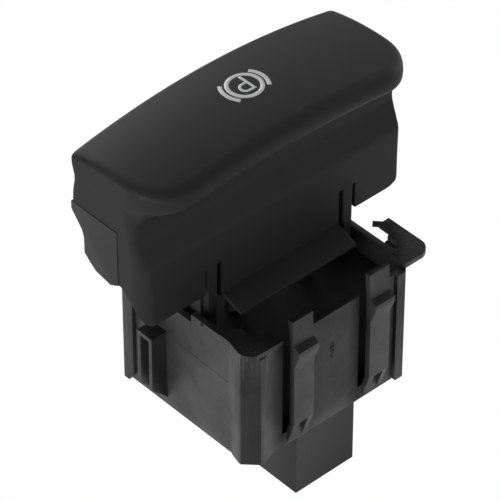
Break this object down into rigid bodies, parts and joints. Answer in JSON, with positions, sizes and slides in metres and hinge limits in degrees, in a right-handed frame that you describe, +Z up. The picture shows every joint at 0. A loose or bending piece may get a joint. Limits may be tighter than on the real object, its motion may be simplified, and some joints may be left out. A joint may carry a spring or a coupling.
{
  "type": "electric parking brake switch",
  "caption": "Electric parking brake switch: a long push and pull finger paddle with a lit symbol, rocking on a snap-in console housing with a connector socket below.",
  "frame": {"origin": "middle of the housing in plan, on the top face of its corner flanges, which lies level with the console's surface", "axes": "+X along the paddle, towards its right end as the finger lip faces the user; -Y the side that the finger lip points to; +Z up, out of the console"},
  "size_m": [0.0682, 0.0429, 0.0886],
  "materials": {
    "housing_plastic": "black moulded nylon with a fine spark-eroded grain",
    "frame_plastic": "black moulded plastic, smooth, slightly satin",
    "paddle_soft": "black soft-touch lacquer, even and satin",
    "paddle_grain": "black moulded plastic with a fine grain",
    "symbol_grey": "silver-grey translucent inlay",
    "clear_guide": "clear polished acrylic",
    "pin_steel": "ground steel pin",
    "spring_steel": "drawn spring wire",
    "terminal_brass": "tinned brass terminal",
    "board_green": "green solder mask on glass fibre",
    "resistor_black": "glazed black chip",
    "led_yellow": "phosphor under clear resin",
    "unit_plastic": "dark grey moulded plastic",
    "plunger_white": "natural acetal",
    "stop_rubber": "soft black rubber"
  },
  "bodies": {
    "base": {"housing": "housing_plastic", "connector_base": "frame_plastic", "terminal_pins": "terminal_brass", "circuit_board": "board_green", "board_resistors": "resistor_black", "symbol_led": "led_yellow", "bearing_frame": "frame_plastic", "pivot_pin_left": "pin_steel", "pivot_pin_right": "pin_steel", "stop_pads_front": "stop_rubber", "stop_pads_rear": "stop_rubber", "light_guide_lower": "clear_guide", "switch_body_fl": "unit_plastic", "switch_body_fr": "unit_plastic", "switch_body_rl": "unit_plastic", "switch_body_rr": "unit_plastic", "return_spring_fl": "spring_steel", "return_spring_fr": "spring_steel", "return_spring_rl": "spring_steel", "return_spring_rr": "spring_steel"},
    "paddle": {"paddle_carrier": "paddle_grain", "paddle_shell": "paddle_soft", "symbol_inlay": "symbol_grey", "light_guide_upper": "clear_guide"},
    "plunger_fl": {"plunger_fl": "plunger_white"},
    "plunger_fr": {"plunger_fr": "plunger_white"},
    "plunger_rl": {"plunger_rl": "plunger_white"},
    "plunger_rr": {"plunger_rr": "plunger_white"}
  },
  "joints": [
    {"name": "paddle_tilt", "type": "hinge", "parent": "base", "child": "paddle", "pos_m": [0, 0.006, -0.004], "axis": [-1, 0, 0], "range_deg": [-5, 8], "stiffness_Nm_per_rad": 0.8},
    {"name": "plunger_slide_fl", "type": "slide", "parent": "base", "child": "plunger_fl", "axis": [0, 0, 1], "range_m": [-0.0005, 0.00075], "deforming": ["return_spring_fl"]},
    {"name": "plunger_slide_fr", "type": "slide", "parent": "base", "child": "plunger_fr", "axis": [0, 0, 1], "range_m": [-0.0005, 0.00075], "deforming": ["return_spring_fr"]},
    {"name": "plunger_slide_rl", "type": "slide", "parent": "base", "child": "plunger_rl", "axis": [0, 0, 1], "range_m": [-0.00075, 0.0005], "deforming": ["return_spring_rl"]},
    {"name": "plunger_slide_rr", "type": "slide", "parent": "base", "child": "plunger_rr", "axis": [0, 0, 1], "range_m": [-0.00075, 0.0005], "deforming": ["return_spring_rr"]}
  ],
  "couplings": [
    {"joint": "plunger_slide_fl", "follows": "paddle_tilt", "m_per_rad": 0.005},
    {"joint": "plunger_slide_fr", "follows": "paddle_tilt", "m_per_rad": 0.005},
    {"joint": "plunger_slide_rl", "follows": "paddle_tilt", "m_per_rad": -0.005},
    {"joint": "plunger_slide_rr", "follows": "paddle_tilt", "m_per_rad": -0.005}
  ]
}
